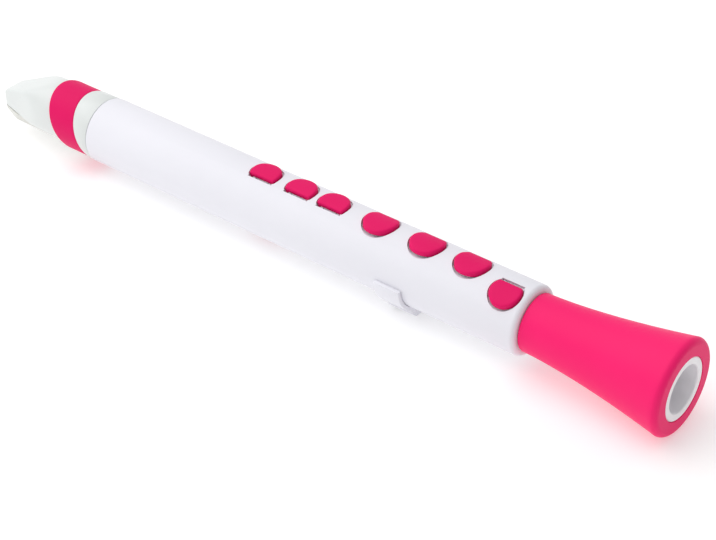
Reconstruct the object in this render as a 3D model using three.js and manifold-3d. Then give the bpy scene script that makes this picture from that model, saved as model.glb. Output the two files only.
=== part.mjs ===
// A beginner's plastic clarinet, lying on its back with the keys up.
// Millimetres. +X runs from the mouthpiece to the bell, and +Z is up.
// The origin is on the surface it lies on, below the middle of its length.
import * as THREE from 'three';
import { mergeVertices } from 'three/addons/utils/BufferGeometryUtils.js';
import Module from 'manifold-3d';

const wasm = await Module();
wasm.setup();

// Fits and gaps
const BOND_GAP = 0.1;
const SLIDE_GAP = 0.2;
const RUN_GAP = 0.3;
const EDGE_BREAK = 0.5;
// How far a cutting shape runs past what it cuts
const CUT_PAST = 1;

// Main lengths and diameters
const MOUTHPIECE_REACH = 63.9;
const BODY_LENGTH = 230.2;
const BELL_LENGTH = 66.5;
const TUBE_DIAMETER = 30;
const BORE_DIAMETER = 13;
const BODY_END_ROUND = 2.2;

// Sockets and tenons, with an O-ring in a groove on each tenon
const TENON_DIAMETER = 19;
const MOUTHPIECE_TENON = 20;
const BODY_TENON = 16;
const RING_WIRE = 1.5;
const RING_SET_BACK = 5;
const RING_SIDE_GAP = 0.25;

// Bell
const BELL_RIM_DIAMETER = 40.5;
const BELL_LIP = 2.6;
const BELL_START_WALL = 1;
const FLARE_POWER = 1.6;
const LINER_WALL = 1.6;
const MOUTH_DIAMETER = 20;
const MOUTH_WALL = 3.3;
const MOUTH_RECESS = 0.2;
const THROAT_SHARE = 0.25;

// Mouthpiece, reed and ligature: heights are measured from the tube's axis
const BEAK_DIAMETER = 26.6;
const COLLAR_STEP = 0.2;
const TIP_FLAT_HALF = 3.2;
const TIP_ROUND = 3.5;
const TIP_HALF_WIDTH = 5.8;
const TIP_TOP = -6;
const TIP_BOTTOM = -7.2;
const NOSE_LENGTH = 3.4;
const NOSE_HEIGHT = 1.8;
const BEAK_RISE_LENGTH = 32;
const BEAK_SHOULDER_LENGTH = 28.6;
const BEAK_WAIST = 1.2;
const TABLE_END_HEIGHT = -10.8;
const REED_LENGTH = 55;
const REED_TIP_THICKNESS = 0.6;
const REED_VAMP_LENGTH = 28;
const REED_HALF_WIDTH = 7.4;
const WINDOW_WIDTH = 8.6;
const WINDOW_LENGTH = 26;
const WINDOW_SET_BACK = 1.6;
const WINDOW_RAMP = 8;
const CHAMBER_DIAMETER = 12;
const CHAMBER_LEAD = 6;
const LIGATURE_WALL = 1.1;
// Where the ligature's ends cross the axis, measured from the body
const LIGATURE_FRONT = 21.5;
const LIGATURE_BACK = 6.9;
const FRONT_SLANT = 0.45;
const BACK_SLANT = 0.34;

// Keys: each stands on a flat land sunk into the tube, and its pad covers its plate and hinge
const LAND_DEPTH = 2.8;
const LAND_MARGIN = 0.7;
const PLATE_THICKNESS = 1.1;
const PLATE_INSET = 1;
const PAD_RISE = 3.7;
const PAD_CROWN_RADIUS = 18;
const OPEN_ANGLE = THREE.MathUtils.degToRad(5);
const HINGE_RISE = 0.2;
const HINGE_SET_IN = 1;
const BARREL_HALF_LENGTH = 3.2;
const BARREL_DIAMETER = 2.2;
const PIN_DIAMETER = 1;
const POST_THICKNESS = 1.5;
const POST_SHOULDER = 1.1;
const POST_ROOT = 1.5;
const POST_TOP_SWEEP = THREE.MathUtils.degToRad(130);
const TONE_HOLE_DIAMETER = 4;
const SEAT_WALL = 0.7;
const RECESS_DEPTH = 2;
const SEAL_OVERLAP = 0.5;
const SEAL_THICKNESS = 1;
const RECESS_MARGIN = 0.5;
const SPRING_DIAMETER = 0.7;
const SPRING_SET_OUT = 1.6;
const SPRING_DROP = 0.4;
const SPRING_REACH = 1.6;
const CATCH_LENGTH = 1.2;
const CATCH_THICKNESS = 0.5;
const CATCH_GAP = 0.15;
const LEFT_HAND = { padRadius: 6.95, chord: 2.85, side: 1 };
const LEFT_THUMB = { padRadius: 6.95, chord: 2.85, side: -1 };
const RIGHT_HAND = { padRadius: 7.45, chord: 5.4, side: -1 };
const LITTLE_FINGER = { padRadius: 6.7, chord: 4.3, side: -1 };
const THUMB_KEY = { name: 'thumb', turn: 200, hand: LEFT_THUMB };
const THUMB_KEY_LEAD = 1.5;
const FIRST_KEY_PLACE = 94.6;
const LAST_KEY_SET_IN = 9.8;
const KEYS = [
  { name: '1', gap: 0, turn: 5.5, hand: LEFT_HAND },
  { name: '2', gap: 19.4, turn: 5.5, hand: LEFT_HAND },
  { name: '3', gap: 17.3, turn: 5.5, hand: LEFT_HAND },
  { name: '4', gap: 23.5, turn: 1, hand: RIGHT_HAND },
  { name: '5', gap: 23.5, turn: 1, hand: RIGHT_HAND },
  { name: '6', gap: 22, turn: 1, hand: RIGHT_HAND },
  { name: '7', gap: 20.1, turn: 27, hand: LITTLE_FINGER },
];

// Thumb rest: its hook ends a little before the middle of one of the keys above it
const REST_KEY = '5';
const REST_LEAD = 1.7;
const REST_LENGTH = 13;
const REST_HOOK_LENGTH = 6;
const REST_HALF_WIDTH = 6.9;
const REST_HOOK_HALF_WIDTH = 4.2;
const REST_WRAP = THREE.MathUtils.degToRad(86);
const REST_WALL = 1.9;
const REST_PAD_DEPTH = 2.9;
const REST_SCREW_SPREAD = 3.6;
const REST_SCREW_SET_BACK = 3.5;
const SCREW_DIAMETER = 2.2;
const SCREW_HEAD_DIAMETER = 4;
const SCREW_HEAD_HEIGHT = 1.2;
const SCREW_LENGTH = 6.5;
const DRIVE_WIDTH = 0.7;
const DRIVE_DEPTH = 0.6;

// Facets
const ROUND = 48;
const FINE = 14;
const SMALL = 10;
const CURVE = 8;
const THROAT = 5;
const CORNER = 3;
const CROWN = 80;
const RING_LOOP = 30;
const RING_SECTION = 6;

// Places worked out from the sizes above
const tubeRadius = TUBE_DIAMETER / 2;
const boreRadius = BORE_DIAMETER / 2;
const tenonRadius = TENON_DIAMETER / 2;
const socketRadius = tenonRadius + SLIDE_GAP;
const rimRadius = BELL_RIM_DIAMETER / 2;
const axisHeight = rimRadius;
const totalLength = MOUTHPIECE_REACH + BODY_LENGTH + RUN_GAP + BELL_LENGTH;
const tipX = -totalLength / 2;
const bodyStart = tipX + MOUTHPIECE_REACH;
const bodyEnd = bodyStart + BODY_LENGTH;
const bellStart = bodyEnd + RUN_GAP;
const bellEnd = bellStart + BELL_LENGTH;
const grooveRadius = socketRadius - RING_WIRE - 2 * BOND_GAP;
const grooveWidth = RING_WIRE + 2 * RING_SIDE_GAP;
const beakRadius = BEAK_DIAMETER / 2;
const ligatureFront = bodyStart - LIGATURE_FRONT;
const ligatureBack = bodyStart - LIGATURE_BACK;
const landHeight = tubeRadius - LAND_DEPTH;
const hingeHeight = landHeight + HINGE_RISE;
const padTop = landHeight + PAD_RISE;
const plateBottom = landHeight + RUN_GAP;
const plateTop = plateBottom + PLATE_THICKNESS;
const sealBottom = plateBottom - BOND_GAP - SEAL_THICKNESS;
const seatRadius = TONE_HOLE_DIAMETER / 2 + SEAT_WALL;
const sealRadius = seatRadius + SEAL_OVERLAP;
const postInner = BARREL_HALF_LENGTH + RUN_GAP;
const postOuter = postInner + POST_THICKNESS;

// Places along the tube: the gaps between keys are stretched to fill it from the first key to the last
const gapTotal = KEYS.reduce((sum, key) => sum + key.gap, 0);
const gapStretch = (BODY_LENGTH - FIRST_KEY_PLACE - LAST_KEY_SET_IN) / gapTotal;
const keys = [];
for (const key of KEYS) {
  const from = keys.length ? keys.at(-1).x : bodyStart + FIRST_KEY_PLACE;
  keys.push({ ...key, x: from + key.gap * gapStretch });
}
const restEnd = keys.find((key) => key.name === REST_KEY).x - REST_LEAD;
const restHookStart = restEnd - REST_HOOK_LENGTH;
keys.push({ ...THUMB_KEY, x: keys[0].x - THUMB_KEY_LEAD });

// Materials
const whitePlastic = new THREE.MeshStandardMaterial({ color: 0xf3f2f5, roughness: 0.3, metalness: 0 });
const mouthPlastic = new THREE.MeshStandardMaterial({ color: 0xe9eeec, roughness: 0.25, metalness: 0 });
const pinkPlastic = new THREE.MeshStandardMaterial({ color: 0xff2d73, roughness: 0.35, metalness: 0 });
const pinkSilicone = new THREE.MeshStandardMaterial({ color: 0xff2d73, roughness: 0.5, metalness: 0 });
const reedPlastic = new THREE.MeshStandardMaterial({ color: 0xf7f4ea, roughness: 0.4, metalness: 0 });
const sealSilicone = new THREE.MeshStandardMaterial({ color: 0xd9d9de, roughness: 0.6, metalness: 0 });
const steel = new THREE.MeshStandardMaterial({ color: 0xb8bcc2, roughness: 0.3, metalness: 1 });

// A geometry with shared vertices, no flat triangles and its faces pointing out
function closed(geometry) {
  const bare = geometry.clone();
  bare.deleteAttribute('normal');
  bare.deleteAttribute('uv');
  const merged = mergeVertices(bare, 1e-4);
  const place = merged.getAttribute('position');
  const corner = [new THREE.Vector3(), new THREE.Vector3(), new THREE.Vector3()];
  const kept = [];
  let volume = 0;
  for (let i = 0; i < merged.index.count; i += 3) {
    const ids = [0, 1, 2].map((k) => merged.index.getX(i + k));
    if (new Set(ids).size < 3) continue;
    ids.forEach((id, k) => corner[k].fromBufferAttribute(place, id));
    volume += corner[0].dot(corner[1].clone().cross(corner[2]));
    kept.push(ids);
  }
  merged.setIndex((volume < 0 ? kept.map(([a, b, c]) => [a, c, b]) : kept).flat());
  return merged;
}

// A closed geometry as a solid that can be joined and cut
function solid(geometry) {
  const shape = closed(geometry);
  return new wasm.Manifold(
    new wasm.Mesh({
      numProp: 3,
      vertProperties: new Float32Array(shape.getAttribute('position').array),
      triVerts: new Uint32Array(shape.index.array),
    }),
  );
}

// A solid back as a geometry
function surface(body) {
  const mesh = body.getMesh();
  const geometry = new THREE.BufferGeometry();
  geometry.setAttribute('position', new THREE.BufferAttribute(mesh.vertProperties, 3));
  geometry.setIndex(new THREE.BufferAttribute(mesh.triVerts, 1));
  return geometry;
}

// A solid turned round the X axis from [x, radius] points
function turned(points, facets = ROUND) {
  const profile = points.map(([x, radius]) => new THREE.Vector2(radius, x));
  return solid(new THREE.LatheGeometry(profile, facets).rotateZ(-Math.PI / 2));
}

// A round bar or tube along X, from x0 to x1, centred at y, z
function bar(x0, x1, radius, y = 0, z = 0, facets = SMALL) {
  const shape = new THREE.CylinderGeometry(radius, radius, x1 - x0, facets).rotateZ(-Math.PI / 2);
  return solid(shape.translate((x0 + x1) / 2, y, z));
}

function block(x0, x1, y0, y1, z0, z1) {
  const shape = new THREE.BoxGeometry(x1 - x0, y1 - y0, z1 - z0);
  return solid(shape.translate((x0 + x1) / 2, (y0 + y1) / 2, (z0 + z1) / 2));
}

function extruded(section, depth, curveSegments = CURVE) {
  return new THREE.ExtrudeGeometry(section, { depth, bevelEnabled: false, curveSegments });
}

// A plan outline in X and Y, raised from z0 to z1
function raised(outline, z0, z1) {
  return solid(extruded(outline, z1 - z0).translate(0, 0, z0));
}

// A side outline in X and Z, spread evenly across Y
function spread(outline, width) {
  return solid(extruded(outline, width).translate(0, 0, -width / 2).rotateX(Math.PI / 2));
}

// A section in Y and Z, drawn along X from x0 to x1
function drawn(section, x0, x1, steps) {
  const axes = new THREE.Matrix4().makeBasis(
    new THREE.Vector3(0, 1, 0),
    new THREE.Vector3(0, 0, 1),
    new THREE.Vector3(1, 0, 0),
  );
  return solid(extruded(section, x1 - x0, steps).applyMatrix4(axes).translate(x0, 0, 0));
}

function outline(points) {
  return new THREE.Shape(points.map(([a, b]) => new THREE.Vector2(a, b)));
}

function named(name, geometry, material) {
  const mesh = new THREE.Mesh(geometry, material);
  mesh.name = name;
  return mesh;
}

// A rounded corner from the top of a circle round to its +X side, as [x, radius] points
function quarter(x, radius, round) {
  const arc = new THREE.EllipseCurve(x, radius, round, round, Math.PI / 2, 0, true);
  return arc.getPoints(2 * CORNER).map((p) => [p.x, p.y]);
}

// A closed loop of [x, radius] points
function ring(points) {
  return [...points, points[0]];
}

const clarinet = new THREE.Group();
const onAxis = new THREE.Group();
onAxis.position.z = axisHeight;
clarinet.add(onAxis);

// The D of a pad, plate or land: a circle cut straight at edgeY, with a tab out to tab.y if one is given
function dOutline(radius, edgeY, tab) {
  const half = Math.sqrt(radius ** 2 - edgeY ** 2);
  const start = Math.atan2(edgeY, half);
  const shape = new THREE.Shape();
  shape.moveTo(half, edgeY);
  shape.absarc(0, 0, radius, start, Math.PI - start, false);
  if (tab) {
    shape.lineTo(-tab.half, edgeY);
    shape.lineTo(-tab.half, tab.y);
    shape.lineTo(tab.half, tab.y);
    shape.lineTo(tab.half, edgeY);
  }
  shape.closePath();
  return shape;
}

// The sizes of one key, in its own frame: hinge on the -Y side, and the tone hole just clear of its barrel
function keySizes(hand) {
  const plateRadius = hand.padRadius - PLATE_INSET;
  const hingeY = HINGE_SET_IN - hand.chord;
  const plateEdge = hingeY + POST_SHOULDER + RUN_GAP;
  const holeY = hingeY + BARREL_DIAMETER / 2 + SLIDE_GAP + sealRadius;
  const springY = hingeY - SPRING_SET_OUT;
  const footY = springY - SPRING_DIAMETER;
  const straightHalf = Math.sqrt(hand.padRadius ** 2 - hand.chord ** 2);
  const footHalf = Math.max(postOuter + RUN_GAP, straightHalf);
  const springZ = hingeHeight - SPRING_DROP;
  const catchY = springY - SPRING_DIAMETER / 2;
  const catchTop = springZ - SPRING_DIAMETER / 2 - CATCH_GAP;
  const catchBottom = catchTop - CATCH_THICKNESS;
  return {
    ...hand,
    plateRadius,
    hingeY,
    plateEdge,
    holeY,
    footY,
    footHalf,
    springY,
    springZ,
    catchY,
    catchTop,
    catchBottom,
  };
}

// Where a key's own frame lies on the tube
function keyFrame(key) {
  const frame = new THREE.Group();
  frame.position.x = key.x;
  frame.rotation.set(THREE.MathUtils.degToRad(key.turn), 0, key.hand.side > 0 ? 0 : Math.PI);
  return frame;
}

// What one key's seat takes out of the tube: land, barrel groove, seal recess and tone hole
function keySeatCut(size) {
  const holeRadius = TONE_HOLE_DIAMETER / 2;
  const recessRadius = sealRadius + RECESS_MARGIN;
  const recessFloor = landHeight - RECESS_DEPTH;
  const seatTop = sealBottom - BOND_GAP;
  const above = tubeRadius + CUT_PAST;
  const profile = [
    [0, boreRadius / 2],
    [holeRadius, boreRadius / 2],
    [holeRadius, seatTop],
    [seatRadius, seatTop],
    [seatRadius, recessFloor],
    [recessRadius, recessFloor],
    [recessRadius, above],
    [0, above],
  ];
  const section = profile.map(([r, z]) => new THREE.Vector2(r, z));
  const well = new THREE.LatheGeometry(section, FINE).rotateX(Math.PI / 2).translate(0, size.holeY, 0);
  const catchDrop = (size.hingeY - size.catchY) * Math.sin(OPEN_ANGLE);
  const grooveFloor = size.catchBottom - catchDrop - RUN_GAP;
  const grooveStart = size.catchY - RUN_GAP;
  const grooveEnd = size.hingeY + BARREL_DIAMETER / 2 + RUN_GAP;
  const land = dOutline(size.padRadius + LAND_MARGIN, -size.chord - LAND_MARGIN);
  return raised(land, landHeight, above)
    .add(block(-size.footHalf, size.footHalf, size.footY - RUN_GAP, 0, landHeight, above))
    .add(block(-postInner, postInner, grooveStart, grooveEnd, grooveFloor, above))
    .add(solid(well));
}

// The two hinge posts that stand on a key's land
function keyPosts(size) {
  const root = landHeight - POST_ROOT;
  const y1 = size.hingeY + POST_SHOULDER;
  const section = new THREE.Shape();
  section.moveTo(size.footY, root);
  section.lineTo(y1, root);
  section.lineTo(y1, hingeHeight);
  section.absarc(size.hingeY, hingeHeight, POST_SHOULDER, 0, POST_TOP_SWEEP, false);
  section.lineTo(size.footY, size.springZ + SPRING_DIAMETER);
  section.closePath();
  const left = drawn(section, -postOuter, -postInner, CORNER);
  return left.add(drawn(section, postInner, postOuter, CORNER));
}

// The holes through both posts for the pin and into one for the needle spring
function postHoles(size) {
  const past = postOuter + BOND_GAP;
  const pinHole = bar(-past, past, PIN_DIAMETER / 2 + BOND_GAP, size.hingeY, hingeHeight);
  const springHoleRadius = SPRING_DIAMETER / 2 + BOND_GAP;
  return pinHole.add(bar(-past, CUT_PAST - postInner, springHoleRadius, size.springY, size.springZ));
}

// Body tube
function bodyTube() {
  const tenonEnd = bodyEnd + BODY_TENON;
  const grooveStart = bodyEnd + RING_SET_BACK;
  const socketFloor = bodyStart + MOUTHPIECE_TENON + RUN_GAP;
  let tube = turned(ring([
    [bodyStart, tubeRadius - EDGE_BREAK],
    [bodyStart + EDGE_BREAK, tubeRadius],
    ...quarter(bodyEnd - BODY_END_ROUND, tubeRadius - BODY_END_ROUND, BODY_END_ROUND),
    [bodyEnd, tenonRadius],
    [grooveStart, tenonRadius],
    [grooveStart, grooveRadius],
    [grooveStart + grooveWidth, grooveRadius],
    [grooveStart + grooveWidth, tenonRadius],
    [tenonEnd - EDGE_BREAK, tenonRadius],
    [tenonEnd, tenonRadius - EDGE_BREAK],
    [tenonEnd, boreRadius],
    [socketFloor, boreRadius],
    [socketFloor, socketRadius],
    [bodyStart + EDGE_BREAK, socketRadius],
    [bodyStart, socketRadius + EDGE_BREAK],
  ]));
  for (const key of keys) {
    const frame = keyFrame(key);
    frame.updateMatrix();
    const size = keySizes(key.hand);
    const placed = (shape) => solid(surface(shape).applyMatrix4(frame.matrix));
    tube = tube.subtract(placed(keySeatCut(size))).add(placed(keyPosts(size)));
    tube = tube.subtract(placed(postHoles(size)));
  }
  for (const side of [-1, 1]) tube = tube.subtract(restScrewHole(side));
  return tube;
}

// An O-ring on a tenon, with its middle at x
function sealRing(x) {
  const radius = grooveRadius + BOND_GAP + RING_WIRE / 2;
  const wire = new THREE.TorusGeometry(radius, RING_WIRE / 2, RING_SECTION, RING_LOOP);
  return wire.rotateY(Math.PI / 2).translate(x, 0, 0);
}

// One key: the flap carries plate, pad and seal, and turns about the pin
function addKey(key) {
  const size = keySizes(key.hand);
  const frame = keyFrame(key);
  const flap = new THREE.Group();
  flap.position.set(0, size.hingeY, hingeHeight);
  flap.rotation.x = OPEN_ANGLE;
  frame.add(flap);
  const toHinge = (geometry) => geometry.translate(0, -size.hingeY, -hingeHeight);

  const { hingeY, plateRadius, plateEdge } = size;
  const tab = { half: BARREL_HALF_LENGTH, y: hingeY };
  const past = BARREL_HALF_LENGTH + CUT_PAST;
  const plate = raised(dOutline(plateRadius, plateEdge, tab), plateBottom, plateTop)
    .add(bar(-BARREL_HALF_LENGTH, BARREL_HALF_LENGTH, BARREL_DIAMETER / 2, hingeY, hingeHeight))
    .add(block(0, CATCH_LENGTH, size.catchY, hingeY, size.catchBottom, size.catchTop))
    .subtract(bar(-past, past, PIN_DIAMETER / 2 + SLIDE_GAP, hingeY, hingeHeight));

  const crown = bar(-tubeRadius, tubeRadius, PAD_CROWN_RADIUS, 0, padTop - PAD_CROWN_RADIUS, CROWN);
  const hollowBottom = plateBottom - CUT_PAST;
  const hollowTop = plateTop + BOND_GAP;
  const hollowHalf = postOuter + RUN_GAP;
  const hollowStart = -size.chord - CUT_PAST;
  const plateHollow = dOutline(plateRadius + BOND_GAP, plateEdge - BOND_GAP);
  const pad = raised(dOutline(size.padRadius, -size.chord), plateBottom, padTop + CUT_PAST)
    .intersect(crown)
    .subtract(raised(plateHollow, hollowBottom, hollowTop))
    .subtract(block(-hollowHalf, hollowHalf, hollowStart, plateEdge, hollowBottom, hollowTop));

  const seal = new THREE.CylinderGeometry(sealRadius, sealRadius, SEAL_THICKNESS, FINE)
    .rotateX(Math.PI / 2)
    .translate(0, size.holeY, sealBottom + SEAL_THICKNESS / 2);

  flap.add(named(`key_plate_${key.name}`, toHinge(surface(plate)), whitePlastic));
  flap.add(named(`finger_pad_${key.name}`, toHinge(surface(pad)), pinkSilicone));
  flap.add(named(`hole_seal_${key.name}`, toHinge(seal), sealSilicone));

  const pin = surface(bar(-postOuter, postOuter, PIN_DIAMETER / 2, hingeY, hingeHeight));
  const spring = surface(bar(-postOuter, SPRING_REACH, SPRING_DIAMETER / 2, size.springY, size.springZ));
  frame.add(named(`hinge_pin_${key.name}`, pin, steel));
  frame.add(named(`key_spring_${key.name}`, spring, steel));
  onAxis.add(frame);
}

// Bell: a white liner on the body's tenon, and a pink shell moulded round it
const linerStart = socketRadius + LINER_WALL;
const mouthRadius = MOUTH_DIAMETER / 2;
const linerMouth = mouthRadius + MOUTH_WALL;

function bellLiner() {
  const socketFloor = bellStart + BODY_TENON;
  const mouth = bellEnd - MOUTH_RECESS;
  const flare = new THREE.QuadraticBezierCurve(
    new THREE.Vector2(mouth, mouthRadius),
    new THREE.Vector2((socketFloor + mouth) / 2, boreRadius + (mouthRadius - boreRadius) * THROAT_SHARE),
    new THREE.Vector2(socketFloor, boreRadius),
  );
  return surface(turned(ring([
    [bellStart, socketRadius + EDGE_BREAK],
    [bellStart, linerStart],
    [mouth, linerMouth],
    ...flare.getPoints(THROAT).map((p) => [p.x, p.y]),
    [socketFloor, socketRadius],
    [bellStart + EDGE_BREAK, socketRadius],
  ])));
}

function bellShell() {
  const inner = linerStart + BOND_GAP;
  const innerMouth = linerMouth + BOND_GAP;
  const start = inner + BELL_START_WALL;
  const flareLength = BELL_LENGTH - BELL_LIP;
  const flare = [];
  for (let i = 1; i <= CURVE; i += 1) {
    const share = i / CURVE;
    flare.push([bellStart + flareLength * share, start + (rimRadius - start) * share ** FLARE_POWER]);
  }
  return surface(turned(ring([
    [bellStart, inner],
    [bellStart, start - EDGE_BREAK],
    [bellStart + EDGE_BREAK, start],
    ...flare,
    ...quarter(bellEnd - BELL_LIP, rimRadius - BELL_LIP, BELL_LIP).slice(1),
    [bellEnd, innerMouth],
  ])));
}

// Mouthpiece: the height of the reed's table at a given place
const tableSlope = (TABLE_END_HEIGHT - TIP_BOTTOM) / REED_LENGTH;
const tableAt = (x) => TIP_BOTTOM + tableSlope * (x - tipX);

// Everything toward the tip from a slanted plane that crosses the axis at x
function before(x, slant) {
  const far = TUBE_DIAMETER;
  const side = outline([
    [tipX - far, -far],
    [x + slant * far, -far],
    [x - slant * far, far],
    [tipX - far, far],
  ]);
  return spread(side, 2 * far);
}

// Everything inside the beak's plan: a round tip, hollow flanks and full width from the shoulder to x
function beakPlan(x) {
  const wide = tubeRadius + CUT_PAST;
  const shoulder = tipX + BEAK_SHOULDER_LENGTH;
  const roundEnd = tipX + TIP_ROUND;
  const waistX = (shoulder + roundEnd) / 2;
  const waistY = (TIP_HALF_WIDTH + beakRadius) / 2 - BEAK_WAIST;
  const tipCorner = TIP_HALF_WIDTH - (waistY - TIP_HALF_WIDTH) * (TIP_ROUND / (waistX - roundEnd));
  const plan = new THREE.Shape();
  plan.moveTo(tipX, -TIP_FLAT_HALF);
  plan.quadraticCurveTo(tipX, -tipCorner, roundEnd, -TIP_HALF_WIDTH);
  plan.quadraticCurveTo(waistX, -waistY, shoulder, -beakRadius);
  plan.lineTo(shoulder, -wide);
  plan.lineTo(x, -wide);
  plan.lineTo(x, wide);
  plan.lineTo(shoulder, wide);
  plan.lineTo(shoulder, beakRadius);
  plan.quadraticCurveTo(waistX, waistY, roundEnd, TIP_HALF_WIDTH);
  plan.quadraticCurveTo(tipX, tipCorner, tipX, TIP_FLAT_HALF);
  plan.closePath();
  return raised(plan, -wide, wide);
}

function mouthpiece() {
  const tenonEnd = bodyStart + MOUTHPIECE_TENON;
  const grooveEnd = tenonEnd - RING_SET_BACK;
  const collarEnd = bodyStart - RUN_GAP;
  const blank = turned([
    [tipX, 0],
    [tipX, beakRadius],
    [collarEnd - EDGE_BREAK, beakRadius],
    [collarEnd, beakRadius - EDGE_BREAK],
    [collarEnd, tenonRadius],
    [grooveEnd - grooveWidth, tenonRadius],
    [grooveEnd - grooveWidth, grooveRadius],
    [grooveEnd, grooveRadius],
    [grooveEnd, tenonRadius],
    [tenonEnd - EDGE_BREAK, tenonRadius],
    [tenonEnd, tenonRadius - EDGE_BREAK],
    [tenonEnd, 0],
  ]);
  const collarRadius = tubeRadius - COLLAR_STEP;
  const collarRoot = beakRadius - CUT_PAST;
  const collar = turned(ring([
    [ligatureFront, collarRoot],
    [ligatureFront, collarRadius],
    [collarEnd - EDGE_BREAK, collarRadius],
    [collarEnd, collarRadius - EDGE_BREAK],
    [collarEnd, collarRoot],
  ])).subtract(before(ligatureBack + RUN_GAP, BACK_SLANT));

  const wide = tubeRadius + CUT_PAST;
  const past = tenonEnd + CUT_PAST;
  const tableEnd = tipX + REED_LENGTH;
  const riseEnd = tipX + BEAK_RISE_LENGTH;
  const riseSlope = (beakRadius - NOSE_HEIGHT) / (BEAK_RISE_LENGTH - NOSE_LENGTH);
  const side = new THREE.Shape();
  side.moveTo(tipX, TIP_BOTTOM);
  side.lineTo(tableEnd, tableAt(tableEnd));
  side.lineTo(tableEnd, -wide);
  side.lineTo(past, -wide);
  side.lineTo(past, wide);
  side.lineTo(riseEnd, wide);
  side.lineTo(riseEnd, beakRadius);
  side.lineTo(tipX + NOSE_LENGTH, NOSE_HEIGHT);
  side.quadraticCurveTo(tipX, NOSE_HEIGHT - riseSlope * NOSE_LENGTH, tipX, TIP_TOP);
  side.closePath();

  const chamber = CHAMBER_DIAMETER / 2;
  const windowStart = tipX + WINDOW_SET_BACK;
  const windowEnd = windowStart + WINDOW_LENGTH;
  const bore = bar(windowEnd - CHAMBER_LEAD, past, chamber, 0, 0, FINE);
  const slot = spread(outline([
    [windowStart, tableAt(windowStart) - CUT_PAST],
    [windowEnd, tableAt(windowEnd) - CUT_PAST],
    [windowEnd, 0],
    [windowEnd - WINDOW_RAMP, 0],
    [windowStart, tableAt(windowStart)],
  ]), WINDOW_WIDTH);
  const beak = blank.intersect(spread(side, 2 * wide)).intersect(beakPlan(past));
  return surface(beak.add(collar).subtract(bore).subtract(slot));
}

// Reed: flat on the table, round below, and shaved thin toward the tip
function reed() {
  const top = (x) => tableAt(x) - BOND_GAP;
  const start = tipX + BOND_GAP;
  const end = tipX + REED_LENGTH - RUN_GAP;
  const vampEnd = tipX + REED_VAMP_LENGTH;
  const deep = -tubeRadius;
  const side = outline([
    [start, top(start)],
    [start, top(start) - REED_TIP_THICKNESS],
    [vampEnd, deep],
    [end, deep],
    [end, top(end)],
  ]);
  const round = bar(tipX - CUT_PAST, end + CUT_PAST, beakRadius - BOND_GAP, 0, 0, ROUND);
  return surface(spread(side, 2 * REED_HALF_WIDTH).intersect(beakPlan(end)).intersect(round));
}

// Ligature: a slip ring with slanted ends
function ligature() {
  const inner = beakRadius + SLIDE_GAP;
  const outer = inner + LIGATURE_WALL;
  const spare = FRONT_SLANT * TUBE_DIAMETER;
  const sleeve = turned(ring([
    [ligatureFront - spare, inner],
    [ligatureFront - spare, outer],
    [ligatureBack + spare, outer],
    [ligatureBack + spare, inner],
  ]));
  const kept = sleeve.intersect(before(ligatureBack, BACK_SLANT));
  return surface(kept.subtract(before(ligatureFront, FRONT_SLANT)));
}

// Thumb rest: a saddle round the back of the tube with a hook toward the bell
function restScrewPlace(side) {
  return { x: restHookStart - REST_SCREW_SET_BACK, y: side * REST_SCREW_SPREAD };
}

function upright(radius, z0, z1, x, y, facets = SMALL) {
  const shape = new THREE.CylinderGeometry(radius, radius, z1 - z0, facets).rotateX(Math.PI / 2);
  return solid(shape.translate(x, y, (z0 + z1) / 2));
}

const restBottom = -tubeRadius - REST_PAD_DEPTH;
const screwSeat = restBottom + SCREW_HEAD_HEIGHT + BOND_GAP;

function restScrewHole(side) {
  const { x, y } = restScrewPlace(side);
  const top = screwSeat + SCREW_LENGTH + BOND_GAP;
  return upright(SCREW_DIAMETER / 2 + BOND_GAP, screwSeat - CUT_PAST, top, x, y);
}

function restScrew(side) {
  const { x, y } = restScrewPlace(side);
  const headTop = screwSeat - BOND_GAP;
  const half = SCREW_HEAD_DIAMETER / 2;
  const slit = DRIVE_WIDTH / 2;
  const driveTop = restBottom + DRIVE_DEPTH;
  const drive = block(x - half, x + half, y - slit, y + slit, restBottom - CUT_PAST, driveTop);
  return surface(upright(half, restBottom, headTop, x, y, FINE)
    .add(upright(SCREW_DIAMETER / 2, restBottom, screwSeat + SCREW_LENGTH, x, y))
    .subtract(drive));
}

function thumbRest() {
  const start = restEnd - REST_LENGTH;
  const inner = tubeRadius + BOND_GAP;
  const outer = inner + REST_WALL;
  const down = -Math.PI / 2;
  const saddle = new THREE.Shape();
  saddle.absarc(0, 0, outer, down - REST_WRAP, down + REST_WRAP, false);
  saddle.closePath();
  const hollow = bar(start - CUT_PAST, restEnd + CUT_PAST, inner, 0, 0, ROUND);
  const top = -tubeRadius / 2;
  const pad = block(start, restEnd, -REST_HALF_WIDTH, REST_HALF_WIDTH, restBottom, top);
  const hook = block(restHookStart, restEnd, -REST_HOOK_HALF_WIDTH, REST_HOOK_HALF_WIDTH, -axisHeight, top);
  let rest = drawn(saddle, start, restEnd, CURVE).add(pad).add(hook).subtract(hollow);
  for (const side of [-1, 1]) {
    const { x, y } = restScrewPlace(side);
    const head = SCREW_HEAD_DIAMETER / 2 + SLIDE_GAP;
    const headHole = upright(head, restBottom - CUT_PAST, screwSeat, x, y, FINE);
    rest = rest.subtract(restScrewHole(side)).subtract(headHole);
  }
  return surface(rest);
}

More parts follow.
